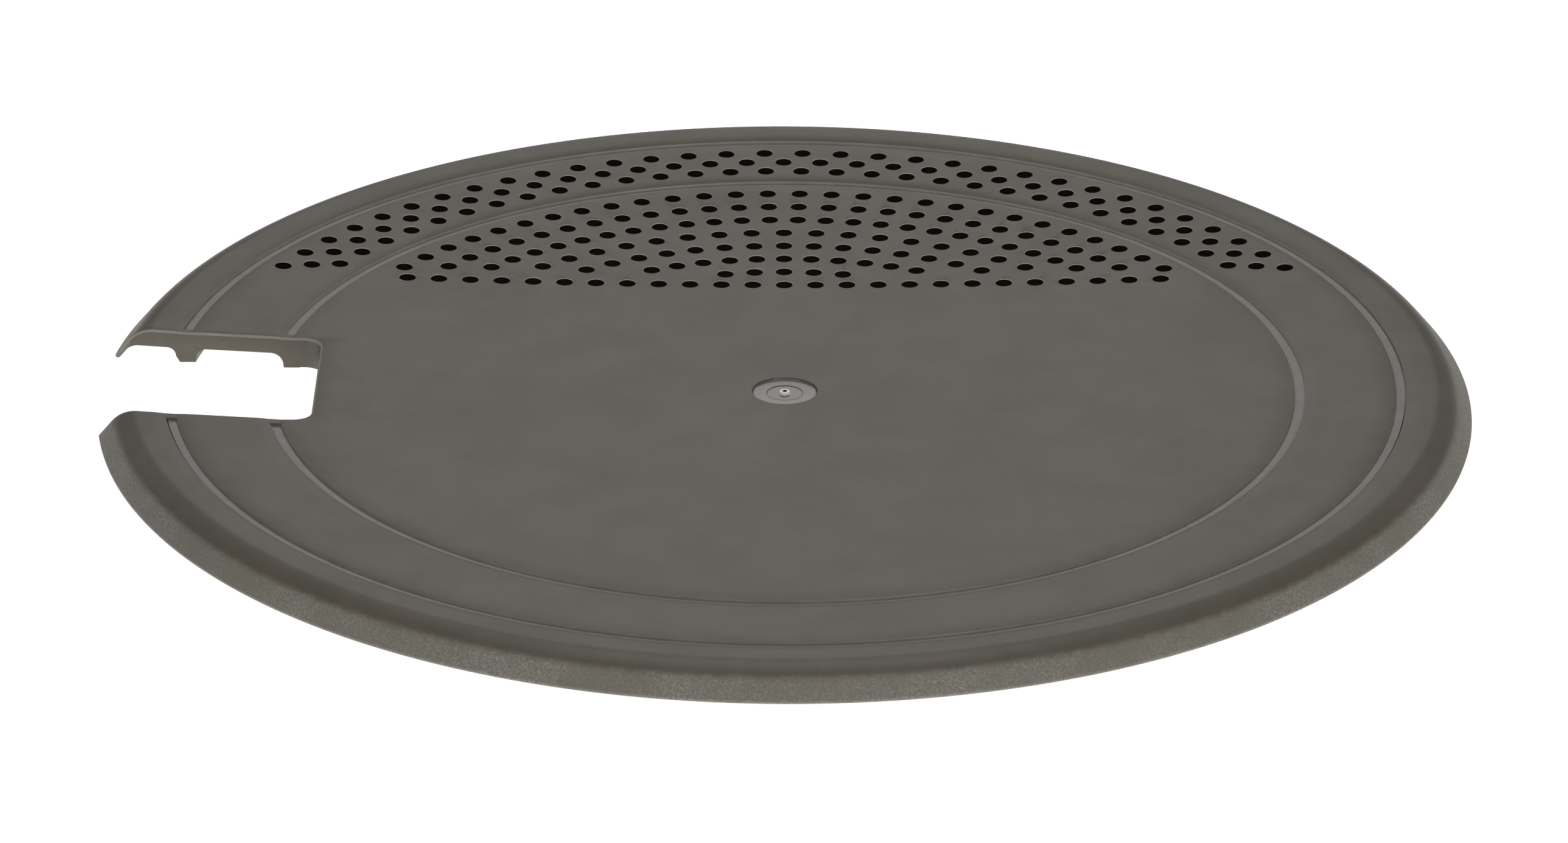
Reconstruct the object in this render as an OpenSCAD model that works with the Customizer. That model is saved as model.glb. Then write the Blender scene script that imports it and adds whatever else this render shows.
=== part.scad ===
// Round drained cover for a small inspection chamber, a single plastic moulding.
// It is a shallow dish with two annular ribs under two cored grooves, a rolled rim,
// a perforated drain segment and an open notch that lets a pipe or a cable through.
// Each node is one region of the moulding, and neighbouring regions meet face to face.
// Millimetres, +Z up. The origin is the centre of the cover on the plane it stands on.
// The notch opens towards -X and the drain segment lies towards +Y.

/* [Plate] */
// Radius of the cover at the outer edge of its rim
rim_r = 150; // [125:1:190]
// Thickness of the plate
plate_t = 3.9; // [3:0.1:4.1]
// Radius of curvature of the dish
dish_r = 2135; // [2000:5:3500]

/* [Grooves and ribs] */
// Distance from the edge of the cover to the outer groove
rim_band = 14.4; // [13:0.1:20]
// Distance from the outer groove to the inner groove
middle_band = 22; // [18:0.1:30]
// Width of each groove
groove_w = 2.2; // [1.4:0.1:3]
// Depth of each groove
groove_depth = 1.1; // [0.4:0.1:2.2]
// Depth of each rib below the top of the plate
rib_depth = 7.2; // [7:0.1:10]
// Thickness of each rib at its foot
rib_w = 3.7; // [3:0.1:5]
// How far the outer face of the outer rib stands outside its groove
outer_rib_shift = 0.4; // [0:0.1:1]
// How far the outer face of the inner rib stands inside its groove
inner_rib_shift = 0.3; // [0:0.1:1]
// Fillet between a rib and the underside of the plate
rib_fillet = 2.1; // [1:0.1:2.4]
// Fillet on the outer face of the inner rib
broad_fillet = 2.9; // [1:0.1:3]
// Taper of the locating face of the outer rib
rib_taper = 0.7; // [0:0.1:1]

/* [Rim] */
// Depth of the edge of the rim below the dish carried out to it
rim_drop = 7.2; // [6.6:0.1:9]
// Thickness of the skirt at the edge of the rim
skirt_t = 1.2; // [0.8:0.1:1.8]
// Slope of the skirt from the horizontal, in degrees
skirt_slope = 50; // [40:1:60]
// Radius of the shoulder of the rim, on top
shoulder_r = 6.5; // [5:0.1:8]
// Radius of the hollow under the rim
hollow_r = 3.2; // [2:0.1:4]

/* [Notch] */
// Width of the notch
notch_w = 43.2; // [20:0.1:54]
// Depth of the notch from the edge of the cover
notch_depth = 47.4; // [42:0.1:60]
// Radius of the inner corners of the notch
notch_corner_r = 4; // [2:0.1:8]
// Wall left between the notch and the end of each groove
groove_stop = 2.4; // [1:0.1:6]
// Thickness of the lip under the inner end of the notch
lip_w = 3; // [2:0.1:5]

/* [Drain holes] */
// Diameter of a drain hole
hole_d = 3.5; // [2:0.1:4]
// Chamfer on the upper edge of a drain hole
hole_chamfer = 0.25; // [0.1:0.05:0.4]
// Distance from the outer edge of a groove to the first ring of holes inside it
ring_margin = 7.1; // [6.5:0.1:9]
// Distance between the rings of holes in the middle band
band_pitch = 4.84; // [4.6:0.01:6]
// Least distance between holes round a ring of the middle band
band_arc = 8.1; // [7:0.1:12]
// Rings of holes in the centre plate
field_rings = 7; // [3:1:8]
// Distance between the rings of holes in the centre plate
field_pitch = 7.06; // [6:0.01:8]
// Least distance between holes round a ring of the centre plate
field_arc = 6.1; // [5.6:0.1:9]
// Distance between the holes of the straight row
row_pitch = 7.1; // [6:0.1:10]
// Least distance from the straight row up to the holes above it
row_clear = 5; // [4.6:0.1:7]

/* [Gate mark] */
// Radius of the polished dimple round the moulding gate
gate_r = 7.15; // [5:0.05:10]
// Depth of the dimple
gate_depth = 0.55; // [0.3:0.05:1]
// Radius of the ring that the nozzle leaves in the dimple
nozzle_r = 3.95; // [3:0.05:4.5]
// Depth of that ring
nozzle_depth = 0.1; // [0.05:0.05:0.2]
// Radius of the nub at the gate
nub_r = 1.2; // [0.8:0.05:2]
// Height of the nub
nub_h = 0.6; // [0.3:0.05:1]

/* [Hidden] */
plastic = [0.39, 0.385, 0.36];
polished = [0.47, 0.46, 0.44];
$fn = 48;
ring_facets = 360;  // facets of anything turned about the axis of the cover
cone_w = 16;        // radial width of the shallow cones that make up the dish
arc_steps = 12;     // segments of each round stretch of a profile
spare = 5;          // how far a cutter reaches past what it cuts
lap = 0.02;         // how far a rib's fillet runs up into the plate before it is trimmed
band_clear = 4;     // least distance from the inner groove out to the holes of the middle band

outer_groove_r = rim_r - rim_band;
inner_groove_r = outer_groove_r - middle_band;
outer_rib_r = outer_groove_r + outer_rib_shift;
inner_rib_r = inner_groove_r - inner_rib_shift;
lip_r = inner_rib_r - 0.75 * rib_w;  // the notch's lip ends in a pocket of the inner rib

// Rise of the true dish from its centre out to radius r, and of the cones that follow it.
function dish_rise(r) = dish_r - sqrt(dish_r * dish_r - r * r);
function rise(r) =
    let (a = cone_w * floor(r / cone_w), b = a + cone_w, t = (r - a) / cone_w)
    dish_rise(a) * (1 - t) + dish_rise(b) * t;
top_z = rib_depth - rise(inner_rib_r - rib_w / 2);
function top_at(r) = top_z + rise(r);
outer_foot_z = top_at(outer_rib_r - rib_w / 2) - rib_depth;
over_z = top_at(rim_r) + spare;
// Profile points of the surface that lies depth below the top, from r_from out to r_to.
function skin(depth, r_from, r_to) =
    [for (r = concat([r_from], [for (k = [1 : floor(rim_r / cone_w)])
                                if (k * cone_w > r_from && k * cone_w < r_to) k * cone_w], [r_to]))
        [r, top_at(r) - depth]];
function backwards(points) = [for (i = [len(points) - 1 : -1 : 0]) points[i]];

// Points of an arc about c, from angle a to angle b.
function arc(c, r, a, b) =
    [for (i = [0 : arc_steps]) let (t = a + (b - a) * i / arc_steps) c + r * [cos(t), sin(t)]];

// The skirt runs down along skirt_run and faces skirt_face.
skirt_run = [cos(skirt_slope), -sin(skirt_slope)];
skirt_face = [sin(skirt_slope), cos(skirt_slope)];
tip_r = skirt_t / 2;
tip = [rim_r - tip_r, top_at(rim_r) - rim_drop + tip_r];
face_angle = 90 - skirt_slope;
// The plate rises at rim_angle where the rim begins.
rim_out = outer_rib_r + rib_taper + rib_fillet;
rim_angle = atan((top_at(rim_r) - top_at(rim_out)) / (rim_r - rim_out));
plate_run = [cos(rim_angle), sin(rim_angle)];
plate_face = [-sin(rim_angle), cos(rim_angle)];
// Centre of an arc of radius r that is tangent to the plate's line depth below its top
// and to the skirt's line that lies side away from the tip's centre.
function tangent_centre(r, depth, side) =
    let (start = [rim_r, top_at(rim_r) - depth] - r * plate_face,
         t = ((tip - start) * skirt_face + side) / (plate_run * skirt_face))
    start + t * plate_run;
shoulder_c = tangent_centre(shoulder_r, 0, tip_r - shoulder_r);
hollow_c = tangent_centre(hollow_r, plate_t, -tip_r - hollow_r);

notch_end_x = notch_depth - rim_r;
field_r = inner_groove_r - ring_margin;
row_y = field_r - field_rings * field_pitch;
chord_y = row_y - field_pitch / 2;
band_rows = 1 + floor((middle_band - ring_margin - band_clear) / band_pitch);

// Holes of one ring that lie at least from_y towards +Y. They are whole degrees apart.
function ring_holes(r, least, stagger, from_y) =
    let (step = ceil(least / (r * PI / 180)))
    [for (j = [0 : 180 / step])
        let (a = (j + stagger) * step, p = [r * cos(a), r * sin(a)])
        if (p[1] >= from_y) p];
field_holes = [for (k = [0 : field_rings - 1])
    each ring_holes(field_r - k * field_pitch, field_arc, 0, row_y + row_clear)];
row_holes = [for (i = [-floor(field_r / row_pitch) : floor(field_r / row_pitch)])
    if (norm([i * row_pitch, row_y]) <= field_r) [i * row_pitch, row_y]];
band_holes = [for (k = [0 : band_rows - 1])
    each ring_holes(outer_groove_r - ring_margin - k * band_pitch, band_arc, (k % 2) / 2, row_y)];

// Area of the turned profile above the surface that lies depth below the top.
module above(depth, r_from, r_to) {
    polygon(concat(skin(depth, r_from, r_to), [[r_to, over_z], [r_from, over_z]]));
}

module plate_ring(r_from, r_to) {
    rotate_extrude($fn = ring_facets)
        polygon(concat(skin(plate_t, r_from, r_to), backwards(skin(0, r_from, r_to))));
}

// Outline of the notch seen from above, grown all round.
module notch_outline(grow) {
    corner = notch_corner_r + grow;
    half_w = notch_w / 2 + grow;
    end_x = notch_end_x + grow;
    translate([-rim_r - spare, -half_w]) square([rim_r + spare + end_x - corner, 2 * half_w]);
    translate([-rim_r - spare, corner - half_w])
        square([rim_r + spare + end_x, 2 * (half_w - corner)]);
    for (side = [-1, 1]) translate([end_x - corner, side * (half_w - corner)]) circle(corner);
}

module notch(grow) {
    translate([0, 0, -spare]) linear_extrude(over_z + 2 * spare) notch_outline(grow);
}

// Everything on the drain side of the chord below the straight row.
module drain_side() {
    translate([-rim_r - spare, chord_y, -spare])
        cube([2 * (rim_r + spare), rim_r + spare, over_z + 2 * spare]);
}

// Cutters for the holes: a bore that opens into a chamfer at the top of the plate.
module drain_holes(places) {
    bore_r = hole_d / 2;
    flare = 1;
    for (p = places) translate([p[0], p[1], top_at(norm(p)) - hole_chamfer])
        rotate_extrude() polygon([[0, -plate_t - spare], [bore_r, -plate_t - spare],
                                  [bore_r, 0], [bore_r + flare, flare], [0, flare]]);
}

// A rib with the web between its groove's walls. face_r is its outer face at the foot.
module rib_ring(groove_r, face_r, foot_z, taper, outer_fillet) {
    in_r = face_r - rib_w;
    in_c = [in_r - rib_fillet, top_at(in_r - rib_fillet) - plate_t + lap - rib_fillet];
    out_r = face_r + taper + outer_fillet;
    out_c = [out_r, top_at(out_r) - plate_t + lap - outer_fillet];
    difference() {
        rotate_extrude($fn = ring_facets) difference() {
            polygon(concat([[in_c[0], over_z]], arc(in_c, rib_fillet, 90, 0),
                           [[in_r, foot_z], [face_r, foot_z]],
                           arc(out_c, outer_fillet, 180, 90), [[out_c[0], over_z]]));
            above(0, 0, rim_r);
            above(plate_t, 0, groove_r - groove_w);
            above(plate_t, groove_r, rim_r);
        }
        difference() {
            rotate_extrude($fn = ring_facets)
                above(groove_depth, groove_r - groove_w, groove_r);
            notch(groove_stop);
        }
        notch(0);
    }
}

module centre_plate() {
    color(plastic) difference() {
        plate_ring(gate_r, inner_groove_r - groove_w);
        drain_side();
        notch(0);
    }
}

module drain_field() {
    color(plastic) difference() {
        intersection() {
            plate_ring(gate_r, inner_groove_r - groove_w);
            drain_side();
        }
        drain_holes(concat(field_holes, row_holes));
    }
}

module middle_band() {
    color(plastic) difference() {
        plate_ring(inner_groove_r, outer_groove_r - groove_w);
        drain_side();
        notch(0);
    }
}

module drain_band() {
    color(plastic) difference() {
        intersection() {
            plate_ring(inner_groove_r, outer_groove_r - groove_w);
            drain_side();
        }
        drain_holes(band_holes);
    }
}

module rolled_rim() {
    color(plastic) difference() {
        rotate_extrude($fn = ring_facets) polygon(concat(
            skin(0, outer_groove_r, rim_out),
            arc(shoulder_c, shoulder_r, 90 + rim_angle, face_angle),
            arc(tip, tip_r, face_angle, face_angle - 180),
            arc(hollow_c, hollow_r, face_angle, 90 + rim_angle),
            backwards(skin(plate_t, outer_groove_r, rim_out))));
        notch(0);
    }
}

module inner_rib() {
    color(plastic) difference() {
        rib_ring(inner_groove_r, inner_rib_r, 0, 0, broad_fillet);
        intersection() {
            notch(lip_w);
            translate([0, 0, -spare]) cylinder(h = over_z + 2 * spare, r = lip_r, $fn = ring_facets);
        }
    }
}

module outer_rib() {
    color(plastic) rib_ring(outer_groove_r, outer_rib_r, outer_foot_z, rib_taper, rib_fillet);
}

// Lip of the ribs' depth that lines the inner end of the notch.
module notch_lip() {
    color(plastic) intersection() {
        linear_extrude(over_z) difference() {
            notch_outline(lip_w);
            notch_outline(0);
        }
        rotate_extrude($fn = ring_facets)
            polygon(concat([[0, 0], [lip_r, 0]], backwards(skin(plate_t, 0, lip_r))));
    }
}

module gate_mark() {
    floor_z = top_z - gate_depth;
    pit_z = floor_z - nozzle_depth;
    crater_r = nub_r / 2;
    color(polished) rotate_extrude($fn = ring_facets)
        polygon([[0, top_z - plate_t], [gate_r, top_at(gate_r) - plate_t], [gate_r, floor_z],
                 [nozzle_r, floor_z], [nozzle_r, pit_z], [nub_r, pit_z], [nub_r, pit_z + nub_h],
                 [crater_r, pit_z + nub_h], [0, pit_z + nub_h - crater_r]]);
}

centre_plate();
drain_field();
middle_band();
drain_band();
rolled_rim();
inner_rib();
outer_rib();
notch_lip();
gate_mark();
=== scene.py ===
# %% [markdown]
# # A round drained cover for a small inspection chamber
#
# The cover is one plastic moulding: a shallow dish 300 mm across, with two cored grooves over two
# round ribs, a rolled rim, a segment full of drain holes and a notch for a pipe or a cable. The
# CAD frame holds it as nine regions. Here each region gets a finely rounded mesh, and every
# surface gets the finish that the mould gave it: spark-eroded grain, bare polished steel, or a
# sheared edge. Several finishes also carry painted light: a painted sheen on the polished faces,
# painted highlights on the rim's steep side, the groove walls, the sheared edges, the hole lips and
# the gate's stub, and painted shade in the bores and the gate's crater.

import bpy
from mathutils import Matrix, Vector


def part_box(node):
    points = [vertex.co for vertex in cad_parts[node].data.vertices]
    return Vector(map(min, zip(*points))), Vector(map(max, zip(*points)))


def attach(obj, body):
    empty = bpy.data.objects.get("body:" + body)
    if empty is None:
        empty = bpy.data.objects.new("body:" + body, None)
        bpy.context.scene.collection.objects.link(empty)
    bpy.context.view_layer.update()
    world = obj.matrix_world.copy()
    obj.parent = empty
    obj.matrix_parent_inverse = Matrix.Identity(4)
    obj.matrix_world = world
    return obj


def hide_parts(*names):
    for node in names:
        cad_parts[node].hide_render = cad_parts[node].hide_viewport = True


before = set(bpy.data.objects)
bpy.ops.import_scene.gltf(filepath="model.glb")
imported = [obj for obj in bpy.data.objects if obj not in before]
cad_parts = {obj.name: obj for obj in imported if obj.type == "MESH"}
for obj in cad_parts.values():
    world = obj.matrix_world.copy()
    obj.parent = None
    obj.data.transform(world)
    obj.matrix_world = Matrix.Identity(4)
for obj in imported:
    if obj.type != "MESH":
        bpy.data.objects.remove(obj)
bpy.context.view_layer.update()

import math

import bpy
from mathutils import Matrix, Vector

MM = 0.001
print("frame nodes:", ", ".join(sorted(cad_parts)))

# %% [markdown]
# ## Sizes
#
# The overall sizes come from the frame. The rest are the mould maker's own numbers, in
# millimetres, because a profile in whole millimetres is easier to read than one in thousandths of
# a metre. They are turned into metres once, where a profile is drawn.

# %% The sizes of the moulding
rim_r = round(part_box("rolled_rim")[1][1] / MM, 1)
dish_r = 2135
plate_t, edge_r = 3.9, 0.2

groove_inset, groove_pitch = 14.4, 22
outer_groove_r = rim_r - groove_inset
inner_groove_r = outer_groove_r - groove_pitch
groove_w, groove_depth = 2.2, 0.5
slit_w, slit_depth, slit_slope = 0.3, 0.45, 0.05
sink_depth, sink_in_w, sink_out_w = 0.3, 5.0, 3.4

outer_rib_r, inner_rib_r = outer_groove_r + 0.4, inner_groove_r - 0.3
rib_depth, rib_w, foot_r = 7.2, 3.7, 0.25
rib_fillet, broad_fillet, rib_taper = 2.1, 2.9, 0.7

rim_drop, skirt_t, skirt_slope = 7.2, 1.2, math.radians(50)
shoulder_r, hollow_r = 6.5, 3.2

notch_half_w, notch_end_x, notch_corner_r = 21.6, 47.4 - rim_r, 4
notch_end_r = abs(notch_end_x) + 3
notch_edge_r, lip_w, lip_foot_r = 0.45, 3.0, 0.2
groove_stop_y, stop_draft = notch_half_w + 2.4, 0.15

hole_d, hole_lip = 3.85, 0.12
gate_r, gate_depth, gate_fillet = 7.15, 0.55, 0.4

# How many straight steps stand for a curve: a big fillet, a small round, the rim's shoulder.
fillet_steps, round_steps, shoulder_steps = 8, 3, 14
print(f"rim {rim_r} mm, grooves at {outer_groove_r:.1f} and {inner_groove_r:.1f} mm")


# %% The surface of the dish, with the sink marks beside its grooves
def rise(r):
    """Height of the dish over its own centre, at radius r."""
    return dish_r - math.sqrt(dish_r * dish_r - r * r)


top_z = rib_depth - rise(inner_rib_r - rib_w / 2)


def sink(r):
    """Plastic over a thick rib shrinks as it cools, so the surface dips beside each groove."""
    dip = 0
    for groove_r in (inner_groove_r, outer_groove_r):
        inside, outside = groove_r - groove_w - r, r - groove_r
        away = max(inside / sink_in_w, outside / sink_out_w, 0)
        dip += sink_depth * max(0, 1 - away) ** 2
    return dip


def top(r):
    """Height of the upper face at radius r."""
    return top_z + rise(r) - sink(r)


def under(r):
    """Height of the lower face at radius r."""
    return top_z + rise(r) - plate_t


print(f"top of the dish: {top(0):.2f} mm at its centre, {top(rim_r - 11):.2f} mm near the rim")

# %% [markdown]
# ## How a turned piece is made
#
# Every region is part of a disc, so a lathe is the tool. A profile is drawn as a wire: one corner
# is walked from point to point by extruding it. Then Spin turns it about the axis of the cover.
# Drawing the profile beats starting from a cylinder, because each fillet and each rounded edge is
# already in it, at its true radius.


# %% Helpers to draw and turn a profile
def deselect_all():
    if bpy.context.mode != "OBJECT":
        bpy.ops.object.mode_set(mode="OBJECT")
    bpy.ops.object.select_all(action="DESELECT")


def work_on(piece):
    deselect_all()
    piece.select_set(True)
    bpy.context.view_layer.objects.active = piece


def draw_face(name, points):
    """A flat face: its corners are walked in turn, and the wire is then filled."""
    places = [Vector(point) * MM for point in points]
    deselect_all()
    bpy.ops.mesh.primitive_plane_add(size=MM)
    piece = bpy.context.object
    piece.name = piece.data.name = name
    bpy.ops.object.mode_set(mode="EDIT")
    bpy.ops.mesh.select_mode(type="VERT")
    bpy.ops.mesh.select_all(action="SELECT")
    bpy.ops.mesh.merge(type="CENTER")
    bpy.ops.transform.translate(value=places[0])
    for here, there in zip(places, places[1:]):
        bpy.ops.mesh.extrude_vertices_move(TRANSFORM_OT_translate={"value": there - here})
    bpy.ops.mesh.select_all(action="SELECT")
    bpy.ops.mesh.edge_face_add()
    return piece


def draw_profile(name, points, angle):
    """A face through (radius, height) points, standing at that angle round the axis."""
    return draw_face(name, [(r * math.cos(angle), r * math.sin(angle), z) for r, z in points])


weld = 0.002


def turn(piece, sweep, steps, closed):
    """Spins the profile. A closed turn needs no end caps, so only the wire is turned.
    Spin takes a positive angle as clockwise from above, so the sweep's sign is changed."""
    if closed:
        bpy.ops.mesh.delete(type="ONLY_FACE")
        bpy.ops.mesh.select_all(action="SELECT")
    bpy.ops.mesh.spin(steps=steps, angle=-sweep, center=(0, 0, 0), axis=(0, 0, 1))
    bpy.ops.mesh.select_all(action="SELECT")
    bpy.ops.mesh.remove_doubles(threshold=weld * MM)
    bpy.ops.mesh.normals_make_consistent(inside=False)
    bpy.ops.object.mode_set(mode="OBJECT")


def arc(centre, r, start, end, steps):
    """Points of an arc in the profile, from one angle to another in degrees."""
    angles = [math.radians(start + (end - start) * i / steps) for i in range(steps + 1)]
    return [(centre[0] + r * math.cos(a), centre[1] + r * math.sin(a)) for a in angles]


fine_step, plain_step, sink_ahead = 0.6, 1.2, 0.4


def skin_radii(r_from, r_to):
    """Radii along the top. They are closest together over the sink marks."""
    radii, r = [r_from], r_from
    while r < r_to:
        over_sink = sink(r + sink_ahead) > 0 or sink(r) > 0
        r += fine_step if over_sink else plain_step
        radii.append(min(r, r_to))
    return radii


# %% [markdown]
# ## The notch side of a ring
#
# The ribs, the band and the rim are all cut by the notch along two straight lines, while Spin
# ends a ring on a radius. So each ring is spun almost all the way round, and then its columns of
# corners are slid round their own circles until the last ones stand on the notch's sides. The
# mesh stays a clean grid there, which is what a bevel along the cut needs. Two more columns stand
# where the grooves stop.

# %% Slide the columns of a ring to the notch
ring_steps = 300
start_angle = math.radians(15)


def notch_line(y, r):
    """Angle from the middle of the notch to the line that lies y from it, at radius r."""
    return math.asin(y / r)


def slid_angle(column, steps, r):
    """New angle of a column of corners. The first two stand on the notch and where grooves stop."""
    if column > steps / 2:
        return math.tau - slid_angle(steps - column, steps, r)
    if column == 0:
        return notch_line(notch_half_w, r)
    if column == 1:
        return notch_line(groove_stop_y - stop_draft, r)
    first = notch_line(groove_stop_y, r)
    return first + (math.pi - first) * (column - 2) / (steps / 2 - 2)


def slide_columns(piece):
    """Slides each corner of a ring round its own circle to the angle of its column."""
    step = (math.tau - 2 * start_angle) / ring_steps
    for corner in piece.data.vertices:
        x, y, z = corner.co
        r = math.hypot(x, y)
        angle = (math.atan2(y, x) - math.pi) % math.tau
        slid = slid_angle(round((angle - start_angle) / step), ring_steps, r / MM)
        corner.co = (-r * math.cos(slid), -r * math.sin(slid), z)


near, beside, sink_fade = 0.02, 0.05, 0.6


def on_groove(r):
    """True over a groove and the small rounds on both sides of it."""
    return any(g - groove_w - edge_r - near < r < g + edge_r + near
               for g in (inner_groove_r, outer_groove_r))


def level_ends(piece, depth):
    """Beside the notch the grooves have stopped, so what lies just under the top comes up flush.
    The sink marks fade out on the last column, as the edge of the notch has less plastic."""
    for corner in piece.data.vertices:
        x, y, z = corner.co / MM
        r = math.hypot(x, y)
        if x < 0 and abs(y) < groove_stop_y - stop_draft / 2 and r > notch_end_r:
            if top(r) - z < depth + near and on_groove(r):
                z = top(r)
            if abs(y) < notch_half_w + beside and top(r) - z < near:
                z += sink_fade * sink(r)
            corner.co.z = z * MM


def make_ring(name, points, level_depth):
    """A turned ring, open at the notch, with level ends to its grooves."""
    piece = draw_profile(name, points, math.pi + start_angle)
    turn(piece, math.tau - 2 * start_angle, ring_steps, closed=False)
    slide_columns(piece)
    level_ends(piece, level_depth)
    return piece


# %% [markdown]
# ## Picking edges and faces
#
# A bevel goes only along the edges that pass a test, and a finish only on the faces that pass one.
# The tests ask where an edge or a face lies and which way it looks, so they still hold when a size
# changes. The helper that finishes a piece also counts open edges, and a closed mesh has none.


# %% Helpers to pick edges and to finish a piece
def edge_faces(mesh):
    """The faces on each edge, by the edge's key."""
    faces = {}
    for face in mesh.polygons:
        for key in face.edge_keys:
            faces.setdefault(key, []).append(face)
    return faces


def bevel_edges(piece, wanted, width, segments, material=-1):
    """Bevels the edges whose middle and neighbouring faces pass the test."""
    mesh = piece.data
    work_on(piece)
    bpy.ops.object.mode_set(mode="EDIT")
    bpy.ops.mesh.select_mode(type="EDGE")
    bpy.ops.mesh.select_all(action="DESELECT")
    bpy.ops.object.mode_set(mode="OBJECT")
    faces = edge_faces(mesh)
    count = 0
    for edge in mesh.edges:
        first, second = (mesh.vertices[index].co for index in edge.vertices)
        middle = (first + second) / 2 / MM
        edge.select = wanted(middle, [face.normal for face in faces[edge.key]])
        count += edge.select
    bpy.ops.object.mode_set(mode="EDIT")
    bpy.ops.mesh.bevel(offset=width * MM, segments=segments, affect="EDGES",
                       clamp_overlap=False, material=material)
    bpy.ops.object.mode_set(mode="OBJECT")
    print(f"{piece.name}: {count} edges rounded")


on_line, upright, sideways, skyward = 0.01, 0.05, 0.99, 0.2


def notch_edge(middle, normals):
    """True on the upper edge of a side of the notch: one upright wall meets one upper face."""
    if abs(middle.y) > notch_half_w + on_line or middle.x > notch_end_x + on_line:
        return False
    walls = [n for n in normals
             if abs(n.z) < upright and (abs(n.y) > sideways or n.x < -upright)]
    tops = [n for n in normals if n.z > skyward]
    return len(normals) == 2 and len(walls) == 1 and len(tops) == 1


def coat(piece, *materials):
    """Gives the piece its materials, the first of which is on every face so far."""
    for material in materials:
        piece.data.materials.append(material)


def coat_faces(piece, slot, wanted):
    """Puts the material of that slot on the faces that pass a test of radius, height and normal."""
    for face in piece.data.polygons:
        x, y, z = face.center / MM
        if wanted(math.hypot(x, y), z, face.normal):
            face.material_index = slot


groove_reach, steep, level_z = 1.5, 0.3, 0.98


def groove_wall(r, z, normal):
    """True on the walls of a groove."""
    return on_groove(r) and z > under(r) + groove_reach and normal.z < steep


def groove_round(r, z, normal):
    """True on the small rounds over the walls of a groove."""
    return on_groove(r) and z > under(r) + groove_reach and steep <= normal.z < level_z


def coat_plastic(piece):
    """Grained plastic, with painted light on the groove's walls and a painted sheen on their
    rounds. Slot 2 is for the notch's edge and its painted highlight.
    """
    coat(piece, grained_finish, groove_wall_painted_light, notch_edge_painted_highlight, polished_painted_sheen)
    coat_faces(piece, 1, groove_wall)
    coat_faces(piece, 3, groove_round)


def apply_modifiers(piece):
    work_on(piece)
    for modifier in list(piece.modifiers):
        bpy.ops.object.modifier_apply(modifier=modifier.name)


smooth_below = math.radians(32)


def finish_piece(piece, nodes):
    """Normals, smooth shading, and what the frame has to know about the piece."""
    work_on(piece)
    bpy.ops.object.mode_set(mode="EDIT")
    bpy.ops.mesh.select_all(action="SELECT")
    bpy.ops.mesh.normals_make_consistent(inside=False)
    bpy.ops.object.mode_set(mode="OBJECT")
    bpy.ops.object.shade_smooth_by_angle(angle=smooth_below)
    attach(piece, "root")
    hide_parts(*nodes)
    loose = sum(1 for faces in edge_faces(piece.data).values() if len(faces) != 2)
    triangles = sum(len(face.vertices) - 2 for face in piece.data.polygons)
    print(f"{piece.name}: {triangles} triangles, {loose} open or shared edges")


# %% [markdown]
# ## Shader sums
#
# The finishes are worked out with sums on numbers that change over the surface. The small class
# below wraps a socket, so that a sum written in Python adds the Math node that does it. Anything
# else comes from one method, which takes the node's type, its settings and its inputs.


# %% A material workbench
class Num:
    """A number on a surface. Sums with it add Math nodes to its material."""

    def __init__(self, bench, socket):
        self.bench, self.socket = bench, socket

    def _sum(self, operation, *values):
        node = self.bench.add("ShaderNodeMath", {"operation": operation}, *values)
        return Num(self.bench, node.outputs[0])

    def __add__(self, other): return self._sum("ADD", self, other)
    def __radd__(self, other): return self._sum("ADD", other, self)
    def __sub__(self, other): return self._sum("SUBTRACT", self, other)
    def __rsub__(self, other): return self._sum("SUBTRACT", other, self)
    def __mul__(self, other): return self._sum("MULTIPLY", self, other)
    def __rmul__(self, other): return self._sum("MULTIPLY", other, self)
    def __truediv__(self, other): return self._sum("DIVIDE", self, other)
    def root(self): return self._sum("SQRT", self)

    def up(self, low, high):
        """0 below low, 1 above high, and smooth between them."""
        node = self.bench.add("ShaderNodeMapRange", {"interpolation_type": "SMOOTHSTEP"},
                              self, low, high, 0.0, 1.0)
        return Num(self.bench, node.outputs[0])


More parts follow.
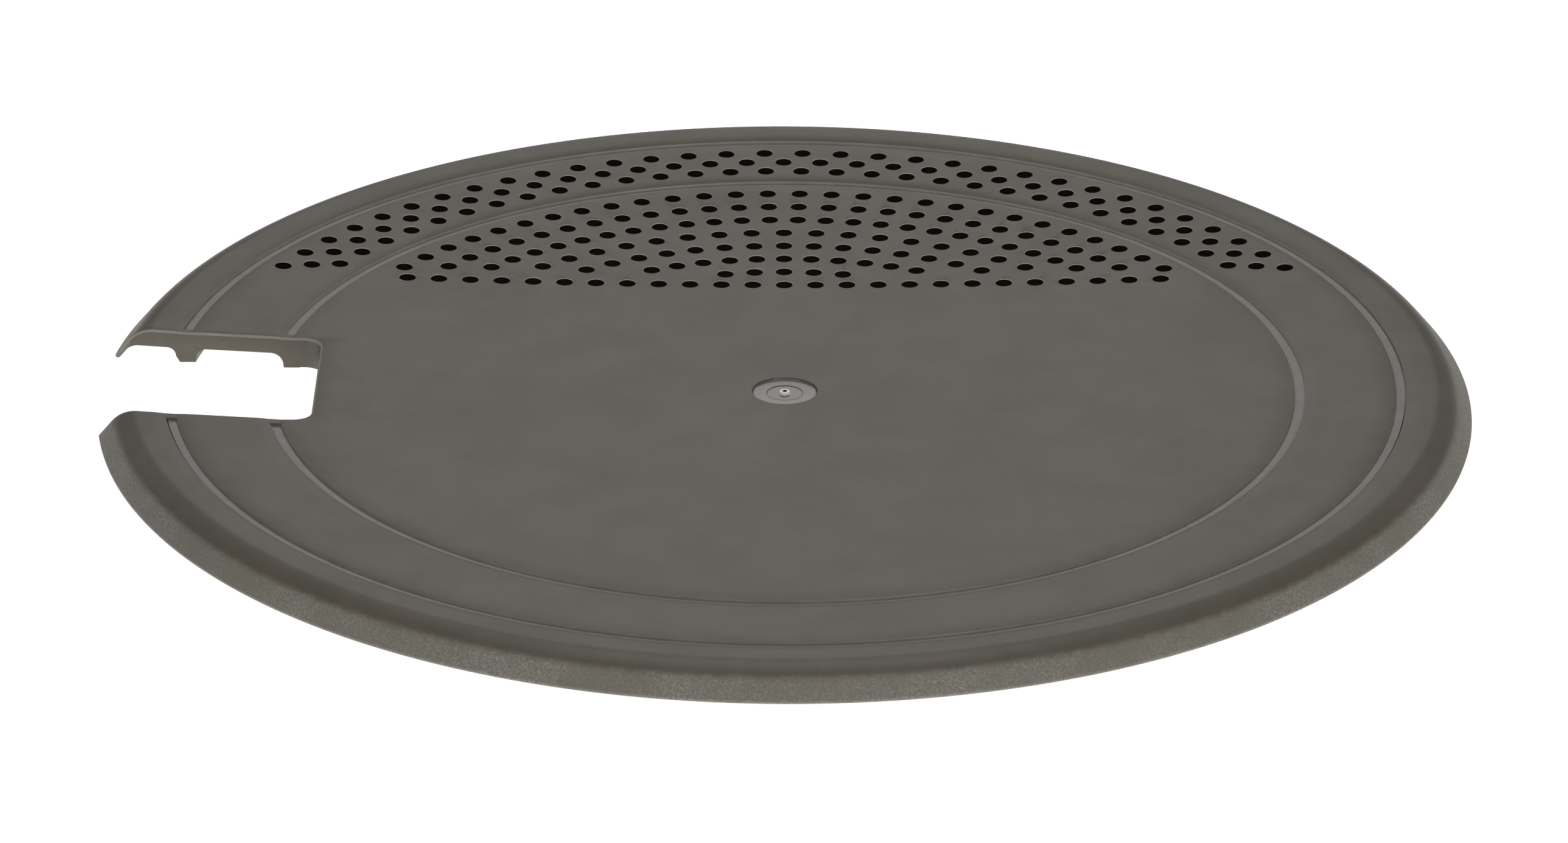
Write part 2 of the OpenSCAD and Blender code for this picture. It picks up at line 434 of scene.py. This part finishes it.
class Bench:
    """The node tree of one material, with its shader."""

    def __init__(self, name):
        self.material = bpy.data.materials.new(name)
        self.material.use_nodes = True
        self.tree = self.material.node_tree
        self.shader = self.tree.nodes["Principled BSDF"]
        place = self.add("ShaderNodeTexCoord", {})
        self.place = place.outputs["Object"]
        parts = self.add("ShaderNodeSeparateXYZ", {}, self.place)
        x, y = (Num(self, socket) for socket in parts.outputs[:2])
        self.r = (x * x + y * y).root()

    def add(self, kind, settings, *values, **named):
        """A node of that kind. Its settings are made first, then its inputs, in order or by name.
        None leaves an input as it is."""
        node = self.tree.nodes.new(kind)
        for key, value in settings.items():
            setattr(node, key, value)
        inputs = list(zip(node.inputs, values))
        inputs += [(node.inputs[name], value) for name, value in named.items()]
        for socket, value in inputs:
            if value is not None:
                self.feed(socket, value)
        return node

    def feed(self, socket, value):
        """Links a number or a node's socket, or sets a plain value."""
        if isinstance(value, Num):
            self.tree.links.new(value.socket, socket)
        elif isinstance(value, bpy.types.NodeSocket):
            self.tree.links.new(value, socket)
        else:
            socket.default_value = value

    def noise(self, size, detail, rough=0.5):
        """Noise whose blotches are about that size, in millimetres."""
        node = self.add("ShaderNodeTexNoise", {"noise_dimensions": "3D"}, self.place, None,
                        1 / (size * MM), detail, rough)
        return Num(self, node.outputs[0])

    def cells(self, size):
        """Distance to the nearest of points scattered that far apart, as a share of that size."""
        node = self.add("ShaderNodeTexVoronoi", {"feature": "F1"}, self.place,
                        Scale=1 / (size * MM))
        return Num(self, node.outputs["Distance"])

    def blend(self, factor, first, second):
        """A colour between two colours."""
        node = self.add("ShaderNodeMix", {"data_type": "RGBA"}, Factor=factor)
        colours = [socket for socket in node.inputs if socket.type == "RGBA"]
        for socket, value in zip(colours, (first, second)):
            self.feed(socket, value)
        return next(socket for socket in node.outputs if socket.type == "RGBA")

    def bump(self, height, distance, strength=1.0, below=None):
        """A Bump node for a height in units of distance, in millimetres."""
        node = self.add("ShaderNodeBump", {}, Strength=strength, Distance=distance * MM,
                        Height=height, Normal=below)
        return node.outputs[0]

    def finish(self, **sockets):
        """Feeds the shader's sockets, named with _ for a space, and gives the material."""
        for name, value in sockets.items():
            self.feed(self.shader.inputs[name.replace("_", " ")], value)
        return self.material


# %% [markdown]
# ## The grained finish
#
# The mould's faces are spark-eroded, so the plastic has a fine even grain, matte and dark. Close
# up it has pits less than half a millimetre apart. The colour drifts a little with the flow of
# the melt, and a few pale specks of dust lie on it. The steep side of the rim is frosty, because
# the grain there was cut deeper, and it is also painted much paler there: a painted highlight for
# the light that falls on it from the front. Bumps carry the grain, since real pits would need
# millions of faces.

# %% Grained plastic
dark_warm = (0.100, 0.086, 0.065, 1)
dark_cool = (0.080, 0.078, 0.060, 1)
light_warm = (0.118, 0.100, 0.076, 1)
frost_and_highlight_colour = (0.30, 0.29, 0.25, 1)
dust_colour = (0.42, 0.41, 0.37, 1)
frost_and_highlight_from, frost_and_highlight_full = 3.3, 1.9


def grained(name):
    bench = Bench(name)
    drift = bench.noise(38, 3, 0.55).up(0.3, 0.7)
    colour = bench.blend(drift * 0.5, dark_warm, light_warm)
    patch = bench.noise(7, 4, 0.65).up(0.4, 0.7)
    colour = bench.blend(patch * 0.6, colour, dark_cool)
    grain = bench.noise(0.32, 3, 0.6)
    pits = bench.cells(0.45)
    speckle = grain.up(0.42, 0.66)
    colour = bench.blend(speckle * 0.22, colour, light_warm)
    ragged = bench.noise(2.2, 4, 0.6)
    shoulder = (bench.r / MM + ragged).up(rim_r - frost_and_highlight_from, rim_r - frost_and_highlight_full)
    worn = bench.noise(17, 3, 0.6).up(0.3, 0.65)
    fleck = bench.noise(0.5, 4, 0.7).up(0.35, 0.75) * shoulder
    # Paler colour over the rim's steep side: part frost, part painted highlight.
    frost_and_highlight = fleck * (0.25 + 0.45 * worn) + shoulder * 0.3
    colour = bench.blend(frost_and_highlight, colour, frost_and_highlight_colour)
    dust = 1 - bench.cells(9.0).up(0.012, 0.022)
    colour = bench.blend(dust * 0.5, colour, dust_colour)
    rough = 0.41 + bench.noise(16, 3).up(0.35, 0.65) * 0.03
    rough = rough + speckle * 0.05 + shoulder * 0.25
    height = grain * 0.7 + pits.up(0.0, 0.5) * 0.3 + fleck * 0.6
    normal = bench.bump(height, 0.03, 0.5)
    wave = bench.noise(24, 1)
    normal = bench.bump(wave, 0.05, 0.15, normal)
    return bench.finish(Base_Color=colour, Roughness=rough, Normal=normal)


grained_finish = grained("grained_finish")
print("made", grained_finish.name)

# %% [markdown]
# ## The finishes from bare steel, and painted light
#
# The groove floors and the dimple round the gate are bare polished steel in the mould. They come
# out smoother, with faint drag lines from ejection, and a little paler; on the groove floors that
# paler colour is a painted sheen. The same recipe with other numbers makes the groove walls,
# painted lighter as painted light; the edges where the mould shears the plastic, painted pale as a
# painted highlight; the pale lip of a drain hole, a painted highlight, and its near-black bore,
# painted shade; and the stub of the gate, whitened where it was torn off and paler still as a
# painted highlight.


# %% Polished plastic, painted highlights and painted shade
def paler(colour, by):
    """The colour, that many times as bright."""
    return tuple(part * by for part in colour[:3]) + (1,)


def polished(name, base, rough, streak, shine=0.5):
    """A smooth plastic. streak scales its bumps, and shine is its mirror strength."""
    bench = Bench(name)
    drift = bench.noise(6, 3).up(0.35, 0.65)
    colour = bench.blend(drift, base, paler(base, 1.12))
    fine = bench.noise(0.5, 3, 0.6)
    scuff = bench.noise(1.6, 4, 0.7).up(0.55, 0.7)
    roughness = rough + scuff * 0.12 + fine * 0.05
    normal = bench.bump(fine, 0.01 * streak, 0.5)
    normal = bench.bump(bench.noise(2.4, 2), 0.02 * streak, 0.4, normal)
    return bench.finish(Base_Color=colour, Roughness=roughness, Normal=normal,
                        Specular_IOR_Level=shine)


# The groove floors and rounds are painted paler than the grained plastic: a painted sheen, on top
# of their smoother finish.
polished_painted_sheen = polished("polished_painted_sheen", (0.150, 0.134, 0.118, 1), 0.34, 1.0)
gate_finish = polished("gate_finish", (0.118, 0.109, 0.099, 1), 0.13, 0.4, shine=0.36)
# The groove walls are painted much lighter than the plastic: painted light, for the shade inside
# the narrow groove.
groove_wall_painted_light = polished("groove_wall_painted_light", (0.33, 0.31, 0.275, 1), 0.27, 3.0)
# The notch's sheared edges are painted pale: a painted highlight along the rounded edge.
notch_edge_painted_highlight = polished("notch_edge_painted_highlight", (0.25, 0.228, 0.195, 1), 0.30, 2.5)
# The pale lip of a drain hole is a painted highlight.
hole_lip_painted_highlight = polished("hole_lip_painted_highlight", (0.60, 0.55, 0.47, 1), 0.35, 1.5)
# The near-black bore and gate crater are painted shade.
bore_and_crater_painted_shade = polished("bore_and_crater_painted_shade", (0.004, 0.004, 0.003, 1), 0.7, 1.0, shine=0.1)
# The gate's stub is whitened where it was torn off, and painted paler still as a painted highlight.
torn_stub_and_highlight = polished("torn_stub_and_highlight", (0.86, 0.83, 0.75, 1), 0.28, 1.5)
smooth_and_painted_finishes = (polished_painted_sheen, gate_finish, groove_wall_painted_light, notch_edge_painted_highlight, hole_lip_painted_highlight, bore_and_crater_painted_shade,
                 torn_stub_and_highlight)
print("made", ", ".join(material.name for material in smooth_and_painted_finishes))

# %% [markdown]
# ## The rolled rim
#
# The edge of the cover rolls over and down into a thin skirt, so rain runs off and a boot meets
# no sharp edge. Its profile is three tangent arcs: the shoulder, the tip and the hollow under it.
# The centres are found the way a draughtsman does it, from the two lines that an arc must touch.

# %% Turn the rim
tip_r = skirt_t / 2
tip = (rim_r - tip_r, top_z + rise(rim_r) - rim_drop + tip_r)
rim_out = outer_rib_r + rib_taper + rib_fillet
rim_angle = math.atan((rise(rim_r) - rise(rim_out)) / (rim_r - rim_out))
skirt_face = Vector((math.sin(skirt_slope), math.cos(skirt_slope)))
plate_run = Vector((math.cos(rim_angle), math.sin(rim_angle)))
plate_face = Vector((-math.sin(rim_angle), math.cos(rim_angle)))


def tangent_centre(r, depth, side):
    """Centre of an arc that touches the plate's line and the skirt's line."""
    start = Vector((rim_r, top_z + rise(rim_r) - depth)) - r * plate_face
    along = ((Vector(tip) - start).dot(skirt_face) + side) / plate_run.dot(skirt_face)
    return start + along * plate_run


shoulder_c = tangent_centre(shoulder_r, 0, tip_r - shoulder_r)
hollow_c = tangent_centre(hollow_r, plate_t, -tip_r - hollow_r)
face_deg = 90 - math.degrees(skirt_slope)
plate_deg = 90 + math.degrees(rim_angle)


def rounded_edge(r, side):
    """Points of the small round on top of a groove's wall. side is 1 on an outer wall."""
    centre = (r + side * edge_r, top(r) - edge_r)
    return arc(centre, edge_r, 90 + 90 * side, 90, round_steps)


rim_points = (
    [(outer_groove_r, under(outer_groove_r))] + rounded_edge(outer_groove_r, 1)
    + [(r, top(r)) for r in skin_radii(outer_groove_r + edge_r, rim_out)[1:]]
    + arc(shoulder_c, shoulder_r, plate_deg, face_deg, shoulder_steps)
    + arc(tip, tip_r, face_deg, face_deg - 180, fillet_steps)
    + arc(hollow_c, hollow_r, face_deg, plate_deg, fillet_steps) + [(rim_out, under(rim_out))])
rolled_rim = make_ring("rim_shell", rim_points, edge_r)
coat_plastic(rolled_rim)
bevel_edges(rolled_rim, notch_edge, notch_edge_r, round_steps, material=2)
finish_piece(rolled_rim, ["rolled_rim"])

# %% [markdown]
# ## The middle band
#
# The flat between the two grooves runs from the notch right round and carries three rows of drain
# holes on the far side. In the frame it is two nodes. It is turned in one go here, so that no
# seam shows where they meet, and both of its upper edges are rounded where they fall into the
# grooves.

# %% Turn the band
band_in, band_out = inner_groove_r, outer_groove_r - groove_w
band_points = ([(band_in, under(band_in))] + rounded_edge(band_in, 1)
               + [(r, top(r)) for r in skin_radii(band_in + edge_r, band_out - edge_r)[1:-1]]
               + rounded_edge(band_out, -1)[::-1] + [(band_out, under(band_out))])
band = make_ring("middle_band_plate", band_points, edge_r)
coat_plastic(band)
bevel_edges(band, notch_edge, notch_edge_r, round_steps, material=2)

# %% [markdown]
# ## The centre plate
#
# The plate is a full disc that only its outer few millimetres share with the notch. It is spun
# all the way round, its columns beside the notch are slid as the rings' are, and a rounded block
# is cut out of it. There is no ring of corners between 98 and 106 mm, so the cut crosses clean,
# wide faces.

# %% Turn the plate
plate_out = inner_groove_r - groove_w
plate_steps = 288
ring_pitch, stop_width = 8, 0.6
clear_from, clear_to = 98, plate_out - sink_in_w
plate_radii = ([gate_r + edge_r / 2] + [ring_pitch * k for k in range(2, 13)] + [clear_from]
               + skin_radii(clear_to, plate_out - edge_r)[:-1])
plate_points = ([(gate_r, under(gate_r)), (gate_r, top(gate_r) - edge_r / 2)]
                + [(r, top(r)) for r in plate_radii]
                + rounded_edge(plate_out, -1)[::-1] + [(plate_out, under(plate_out))])
plate = draw_profile("centre_plate_dish", plate_points, math.pi)
turn(plate, math.tau, plate_steps, closed=True)
print(f"{plate.name}: {len(plate_points)} points turned in {plate_steps} steps")

# %% Slide the plate's columns beside the notch
stop_column = round(math.degrees(notch_line(groove_stop_y, plate_out)) / (360 / plate_steps))


def plate_angle(column, r):
    """New angle of a column of the plate. Two columns close together hold a groove's stop."""
    if column > plate_steps / 2:
        return math.tau - plate_angle(plate_steps - column, r)
    outer = notch_line(groove_stop_y, max(r, clear_from))
    inner = notch_line(groove_stop_y - stop_width, max(r, clear_from))
    if column < stop_column:
        return inner * column / (stop_column - 1)
    return outer + (math.pi - outer) * (column - stop_column) / (plate_steps / 2 - stop_column)


for corner in plate.data.vertices:
    x, y, z = corner.co
    r = math.hypot(x, y)
    angle = (math.atan2(y, x) - math.pi) % math.tau
    slid = plate_angle(round(angle / (math.tau / plate_steps)) % plate_steps, r / MM)
    corner.co = (-r * math.cos(slid), -r * math.sin(slid), z)
level_ends(plate, edge_r)
print(f"the inner groove stops at column {stop_column} of the plate")


# %% Cut the notch out of the plate
def cut(piece, tool):
    """Takes the tool out of the piece. New faces bring the tool's own materials."""
    modifier = piece.modifiers.new("cut", "BOOLEAN")
    modifier.operation, modifier.solver, modifier.object = "DIFFERENCE", "EXACT", tool
    modifier.material_mode = "TRANSFER"
    apply_modifiers(piece)
    bpy.data.objects.remove(tool)


def inner_corner(middle, normals):
    """True on the two upright edges of the block that make the notch's inner corners."""
    return (middle.x > notch_end_x - on_line and abs(middle.z) < on_line
            and abs(abs(middle.y) - notch_half_w) < on_line)


deselect_all()
block_l, block_h = 20, 40
bpy.ops.mesh.primitive_cube_add(size=MM, location=((notch_end_x - block_l / 2) * MM, 0, 0),
                                scale=(block_l, 2 * notch_half_w, block_h))
block = bpy.context.object
bpy.ops.object.transform_apply(location=True, rotation=True, scale=True)
bevel_edges(block, inner_corner, notch_corner_r, fillet_steps)
coat_plastic(plate)
coat_faces(plate, 3, lambda r, z, normal: r < gate_r + edge_r / 2)
coat(block, grained_finish)
cut(plate, block)
bevel_edges(plate, notch_edge, notch_edge_r, round_steps, material=2)

# %% [markdown]
# ## The drain holes
#
# Each hole is 3.85 mm across and has a thin rounded lip, which catches the light. One turned pin
# with that lip is the cutter. It is copied to every hole and tilted square to the dish, and the
# copies are joined, so one Boolean cuts a whole piece. The pin's own materials come through the
# cut, so each lip gets a pale colour, which is a painted highlight, and each bore a near-black
# colour, which is painted shade. The holes stand on rings, a whole number of degrees apart, and
# one straight row of them closes the segment.

# %% The places of the holes
margin = 7.1
band_rings, band_pitch, band_arc = 3, 4.84, 8.1
field_rings, field_pitch, field_arc = 7, 7.06, 6.1
row_pitch, row_clear = 7.1, 5
field_r = inner_groove_r - margin
row_y = field_r - field_rings * field_pitch


def ring_holes(r, least, stagger, from_y):
    """Holes of one ring, a whole number of degrees apart, on the drain side of from_y."""
    step = math.ceil(least / math.radians(r))
    angles = [math.radians((j + stagger) * step) for j in range(180 // step + 1)]
    places = [(r * math.cos(a), r * math.sin(a)) for a in angles]
    return [p for p in places if p[1] >= from_y]


plate_holes = [place for k in range(field_rings)
               for place in ring_holes(field_r - k * field_pitch, field_arc, 0,
                                       row_y + row_clear)]
half_row = int(field_r // row_pitch)
plate_holes += [(i * row_pitch, row_y) for i in range(-half_row, half_row + 1)
                if math.hypot(i * row_pitch, row_y) <= field_r]
band_holes = [place for k in range(band_rings)
              for place in ring_holes(outer_groove_r - margin - k * band_pitch, band_arc,
                                      (k % 2) / 2, row_y)]
print(len(plate_holes), "holes in the plate and", len(band_holes), "in the band")


# %% Turn one pin and cut with its copies
pin_top, lip_lift, pin_sides = 1, 0.02, 24


def make_pin():
    """The cutter of one hole. Its lip ends a little over the dish, so that the cut is clean."""
    bore, lip_z = hole_d / 2, lip_lift - hole_lip
    points = [(0, -2 * plate_t), (bore, -2 * plate_t), (bore, lip_z)]
    points += arc((bore + hole_lip, lip_z), hole_lip, 180, 90, round_steps)[1:]
    points += [(bore + hole_lip, pin_top), (0, pin_top)]
    pin = draw_profile("pin", points, 0)
    turn(pin, math.tau, pin_sides, closed=True)
    # The bore's near-black colour is painted shade, and the lip's pale colour is a painted
    # highlight.
    coat(pin, bore_and_crater_painted_shade, hole_lip_painted_highlight)
    coat_faces(pin, 1, lambda r, z, normal: z > lip_z)
    return pin


def drill(piece, places):
    """Cuts a hole at each place, square to the dish."""
    pin = make_pin()
    copies = []
    for x, y in places:
        r = math.hypot(x, y)
        lean = Matrix.Rotation(-math.asin(r / dish_r), 4, Vector((-y, x, 0)))
        place = Matrix.Translation(Vector((x, y, top(r))) * MM)
        copy = pin.copy()
        copy.data = pin.data.copy()
        copy.data.transform(place @ lean)
        bpy.context.collection.objects.link(copy)
        copies.append(copy)
    bpy.data.objects.remove(pin)
    deselect_all()
    for copy in copies:
        copy.select_set(True)
    bpy.context.view_layer.objects.active = copies[0]
    bpy.ops.object.join()
    cut(piece, copies[0])


drill(band, band_holes)
drill(plate, plate_holes)
finish_piece(band, ["middle_band", "drain_band"])
finish_piece(plate, ["centre_plate", "drain_field"])

# %% [markdown]
# ## The ribs under the grooves
#
# Each groove cores out the root of a rib, so the rib and the groove's floor are one turned piece.
# The outer rib drops into the chamber and has a tapered face, and a narrow slit runs along the
# outer wall of its groove. The inner one carries the cover and has a broad fillet. Both have a
# slightly rounded foot. Only the floor of the groove is polished, so its faces get their own
# material, whose paler colour is a painted sheen.

# %% Turn the ribs
def rib_points(groove_r, face_r, foot_z, taper, outer_fillet, slit):
    """Profile of a rib: the groove's floor, the outer fillet, the foot and the inner fillet."""
    web_in, web_out = groove_r - groove_w, groove_r
    in_r = face_r - rib_w
    in_c = (in_r - rib_fillet, under(in_r - rib_fillet) - rib_fillet)
    out_r = face_r + taper + outer_fillet
    out_c = (out_r, under(out_r) - outer_fillet)
    floor = [(web_in, under(web_in)), (web_in, top(web_in) - groove_depth)]
    if slit:
        slit_r = web_out - slit_w
        floor += [(slit_r, top(slit_r) - groove_depth),
                  (slit_r + slit_slope, top(slit_r) - groove_depth - slit_depth),
                  (web_out, top(web_out) - groove_depth - slit_depth)]
    else:
        floor += [(web_out, top(web_out) - groove_depth)]
    return (floor + [(web_out, under(web_out))]
            + arc(out_c, outer_fillet, 90, 180, fillet_steps)
            + arc((face_r - foot_r, foot_z + foot_r), foot_r, 0, -90, round_steps)
            + arc((in_r + foot_r, foot_z + foot_r), foot_r, -90, -180, round_steps)
            + arc(in_c, rib_fillet, 0, 90, fillet_steps))


def groove_floor(r, z, normal):
    """True on the floor of a groove, but not on its level end beside the notch."""
    return on_groove(r) and normal.z > 0.7 and under(r) + 1 < z < top(r) - groove_depth / 2


outer_foot_z = top_z + rise(outer_rib_r - rib_w / 2) - rib_depth
inner_profile = rib_points(inner_groove_r, inner_rib_r, 0, 0, broad_fillet, False)
outer_profile = rib_points(outer_groove_r, outer_rib_r, outer_foot_z, rib_taper, rib_fillet, True)
for name, node, profile in (("inner_rib_ring", "inner_rib", inner_profile),
                            ("outer_rib_ring", "outer_rib", outer_profile)):
    rib = make_ring(name, profile, groove_depth + slit_depth)
    coat(rib, grained_finish, polished_painted_sheen, notch_edge_painted_highlight)
    coat_faces(rib, 1, groove_floor)
    bevel_edges(rib, notch_edge, notch_edge_r, round_steps, material=2)
    finish_piece(rib, [node])

# %% [markdown]
# ## The gate mark
#
# The melt came in at the centre. The gate sits in a polished dimple, so that its stub stays below
# the surface: a ring left by the nozzle, and a torn little nub with a crater. The dimple's floor
# curves up to the plate in a fillet. Under the plate the piece is grained, as all round it.

# %% Turn the gate mark
floor_z = top_z - gate_depth
pit_z = floor_z - 0.1
nozzle_r, nub_r, nub_h, nub_round, crater_r = 3.95, 1.2, 0.6, 0.3, 0.42
gate_sides, gate_fillet_steps, nub_steps = 96, 6, 4
nub_z = pit_z + nub_h
nozzle_bead = [(nozzle_r + 0.16, floor_z), (nozzle_r + 0.08, floor_z + 0.05),
               (nozzle_r - 0.04, floor_z + 0.04), (nozzle_r - 0.16, pit_z)]
crater = [(crater_r + 0.1, nub_z - 0.05), (crater_r, nub_z - 0.25), (0, nub_z - 0.32)]
gate_points = ([(0, under(0)), (gate_r, under(gate_r))]
               + arc((gate_r - gate_fillet, floor_z + gate_fillet), gate_fillet,
                     0, -90, gate_fillet_steps)
               + nozzle_bead + [(nub_r + 0.12, pit_z)]
               + arc((nub_r - nub_round, nub_z - nub_round), nub_round, 0, 90, nub_steps)
               + crater)
gate = draw_profile("gate_dimple", gate_points, 0)
turn(gate, math.tau, gate_sides, closed=True)
coat(gate, gate_finish, torn_stub_and_highlight, bore_and_crater_painted_shade, grained_finish)
# The nub is pale as torn, whitened plastic and as a painted highlight.
coat_faces(gate, 1, lambda r, z, normal: r < nub_r + 0.06 and z > pit_z + 0.1)
# The crater is coated near-black, as painted shade.
coat_faces(gate, 2, lambda r, z, normal: r < crater_r + 0.06 and z > pit_z)
coat_faces(gate, 3, lambda r, z, normal: normal.z < -0.9 and z < pit_z - 1)
finish_piece(gate, ["gate_mark"])

# %% [markdown]
# ## The lip of the notch
#
# Round the inner end of the notch a wall stands under the plate, as deep as the rib it runs into.
# It is drawn as a flat face that follows the notch's outline and is extruded upwards. Its top
# corners then rise into the plate, so nothing shows between them. It stands a hair back from the
# notch's sides, since two faces in one plane would flicker.

# %% Draw and raise the lip
hair, lip_into_plate, lip_foot_steps = 0.01, 0.1, 2
lip_end_r = inner_rib_r - 0.75 * rib_w


def notch_outline(grow):
    """Points round the inner end of the notch, that much outside it, from one side to the other."""
    half_w, corner, end_x = notch_half_w + grow, notch_corner_r + grow, notch_end_x + grow
    start_x = -math.sqrt(lip_end_r ** 2 - half_w ** 2)
    return ([(start_x, -half_w, 0)]
            + [(x, y, 0) for x, y in arc((end_x - corner, corner - half_w), corner,
                                         -90, 0, fillet_steps)]
            + [(x, y, 0) for x, y in arc((end_x - corner, half_w - corner), corner,
                                         0, 90, fillet_steps)]
            + [(start_x, half_w, 0)])


def foot_edge(middle, normals):
    """True on the lowest edges of the lip."""
    return middle.z < on_line and any(n.z > -0.5 for n in normals)


lip = draw_face("notch_lip_wall", notch_outline(hair) + notch_outline(lip_w)[::-1])
bpy.ops.mesh.extrude_region_move(TRANSFORM_OT_translate={"value": (0, 0, MM)})
bpy.ops.object.mode_set(mode="OBJECT")
for corner in lip.data.vertices:
    if corner.co.z > MM / 2:
        x, y, z = corner.co / MM
        corner.co.z = (under(math.hypot(x, y)) + lip_into_plate) * MM
coat(lip, grained_finish)
bevel_edges(lip, foot_edge, lip_foot_r, lip_foot_steps)
finish_piece(lip, ["notch_lip"])

# %% [markdown]
# ## The studio
#
# A pale table that glows keeps the shadows light, and shows white through the notch. The plastic
# is dark, so half of what is seen is a reflection. A screen stands low behind the table: a face
# that leans away from it loses its reflection and goes dark, which draws the grooves and the rim.
# A dim screen on each side of it keeps the rim's shoulder from going dark at the left and the
# right. Two softboxes overhead, one wide and one close, light everything evenly. Two small lights
# in front put the sparkle on the groove walls, and one low light in front lifts the side of the
# rim.

# %% Table, lights and air
def flat_material(name, colour, glow):
    """A matte finish that gives off its own white light, with a faint cloudiness."""
    bench = Bench(name)
    cloud = bench.noise(900, 2).up(0.2, 0.8)
    cloudy = bench.blend(cloud, colour, paler(colour, 1.02))
    return bench.finish(Base_Color=cloudy, Roughness=0.9, Emission_Color=(1, 1, 1, 1),
                        Emission_Strength=glow)


table_size, table_gap, table_glow = 8, 0.0002, 0.95
deselect_all()
bpy.ops.mesh.primitive_plane_add(size=table_size, location=(0, 1, -table_gap))
table = bpy.context.object
table.name = table.data.name = "table"
bpy.ops.object.transform_apply(location=True)
table.data.materials.append(flat_material("pale_table", (0.86, 0.86, 0.86, 1), table_glow))


def soft_light(name, azimuth, elevation, distance, wide, high, power):
    """A light that faces the middle of the cover. Azimuth 0 is in front, and 90 on the right.
    Angles are in degrees, sizes in metres and the power in watts."""
    a, e = math.radians(azimuth), math.radians(elevation)
    away = Vector((math.sin(a) * math.cos(e), -math.cos(a) * math.cos(e), math.sin(e)))
    lamp = bpy.data.lights.new(name, "AREA")
    lamp.shape, lamp.size, lamp.size_y, lamp.energy = "RECTANGLE", wide, high, power
    light = bpy.data.objects.new(name, lamp)
    light.location = away * distance
    light.rotation_euler = away.to_track_quat("Z", "Y").to_euler()
    light.visible_camera = False
    bpy.context.collection.objects.link(light)
    print(f"{name}: {power} W over {wide} by {high} m")


soft_light("screen", 180, 24, 1.6, 0.62, 0.45, 1.4)
soft_light("side_screen_left", -142, 28, 1.6, 0.9, 0.5, 0.6)
soft_light("side_screen_right", 142, 28, 1.6, 0.9, 0.5, 0.6)
soft_light("overhead", 180, 88, 2.0, 3.0, 3.0, 5)
soft_light("close_overhead", 180, 86, 0.4, 0.35, 0.35, 0.5)
soft_light("sparkle_right", 34, 33, 1.8, 0.22, 0.22, 4.5)
soft_light("sparkle_left", -56, 31, 1.8, 0.18, 0.18, 2.5)
soft_light("low_front", 14, 8, 2.0, 1.0, 0.5, 3.5)

air_strength = 0.12
world = bpy.data.worlds.new("air")
world.use_nodes = True
air = world.node_tree.nodes["Background"]
air.inputs["Color"].default_value = (1, 1, 1, 1)
air.inputs["Strength"].default_value = air_strength
bpy.context.scene.world = world
bpy.context.scene.view_settings.view_transform = "Standard"

# %% [markdown]
# ## The camera
#
# A long lens from 1.55 m away and 24 degrees above the table looks towards the drain side, with
# the notch on the left. Its matrix is built from its view direction and a hair of roll.

# %% Set up the camera
elevation, heading, roll = math.radians(24.04), 0.00387, 0.00338
lens_mm, sensor_mm, camera_away = 162.22, 36, 1.5475
aim = Vector((0, 0, top_z * MM))
forward = Vector((heading * math.cos(elevation), math.cos(elevation), -math.sin(elevation)))
forward.normalize()
level = Vector((1, -heading, 0)).normalized()
upward = level.cross(forward)
right = (level * math.cos(roll) + upward * math.sin(roll)).normalized()
upward = right.cross(forward)
camera = bpy.data.objects.new("camera", bpy.data.cameras.new("camera"))
camera.data.sensor_width, camera.data.lens = sensor_mm, lens_mm
camera.data.shift_x, camera.data.shift_y = -0.0005, -0.0198
camera.matrix_world = Matrix((
    (right.x, upward.x, -forward.x, 0), (right.y, upward.y, -forward.y, 0),
    (right.z, upward.z, -forward.z, 0), (0, 0, 0, 1)))
camera.location = aim - forward * camera_away
camera.data.clip_start, camera.data.clip_end = 0.01, 50
bpy.context.collection.objects.link(camera)
bpy.context.scene.camera = camera
print(f"camera: a {lens_mm} mm lens, {camera_away} m from the cover")

# %% [markdown]
